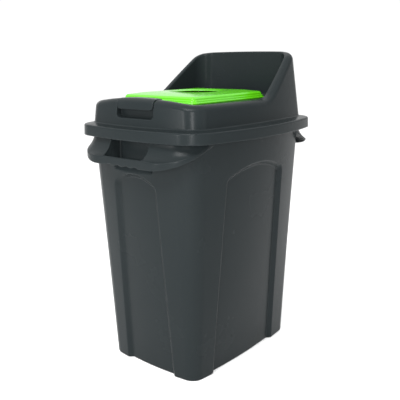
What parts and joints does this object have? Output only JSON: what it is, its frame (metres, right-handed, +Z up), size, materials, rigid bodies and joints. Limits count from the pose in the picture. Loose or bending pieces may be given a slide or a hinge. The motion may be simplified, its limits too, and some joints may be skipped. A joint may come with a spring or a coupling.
{
  "type": "dog waste bin",
  "caption": "Tapered plastic litter bin with end handles, hinged hooded lid, round aperture plate and front latch flap.",
  "frame": {"origin": "on the floor, under the middle of the bin", "axes": "+Z up, -Y towards the front with the latch flap, +X to the right when facing the back"},
  "size_m": [0.4008, 0.498, 0.6976],
  "materials": {
    "dark_plastic": "satin moulded polypropylene, fine texture",
    "green_plastic": "glossy moulded",
    "black_plastic": "matte",
    "zinc_steel": "zinc plated",
    "spring_steel": "bright drawn wire",
    "black_rubber": "matte"
  },
  "bodies": {
    "tub": {"bin_body": "dark_plastic", "latch_keeper": "zinc_steel", "latch_keeper_screws": "zinc_steel", "hinge_pin_left": "zinc_steel", "hinge_pin_right": "zinc_steel", "hinge_pin_caps": "black_plastic", "bag_ring": "zinc_steel", "bag_ring_clips": "black_plastic"},
    "lid": {"lid_shell": "dark_plastic", "aperture_plate": "green_plastic", "aperture_plate_screws": "zinc_steel", "lid_buffers": "black_rubber", "latch_pin": "zinc_steel", "latch_spring": "spring_steel"},
    "latch": {"latch_flap": "dark_plastic"}
  },
  "joints": [
    {"name": "lid_hinge", "type": "hinge", "parent": "tub", "child": "lid", "pos_m": [0, 0.24, 0.528], "axis": [-1, 0, 0], "range_deg": [0, 95]},
    {"name": "latch_pivot", "type": "hinge", "parent": "lid", "child": "latch", "pos_m": [0, -0.199, 0.595], "axis": [-1, 0, 0], "range_deg": [0, 10], "stiffness_Nm_per_rad": 0.1, "springref_deg": -34.38}
  ]
}
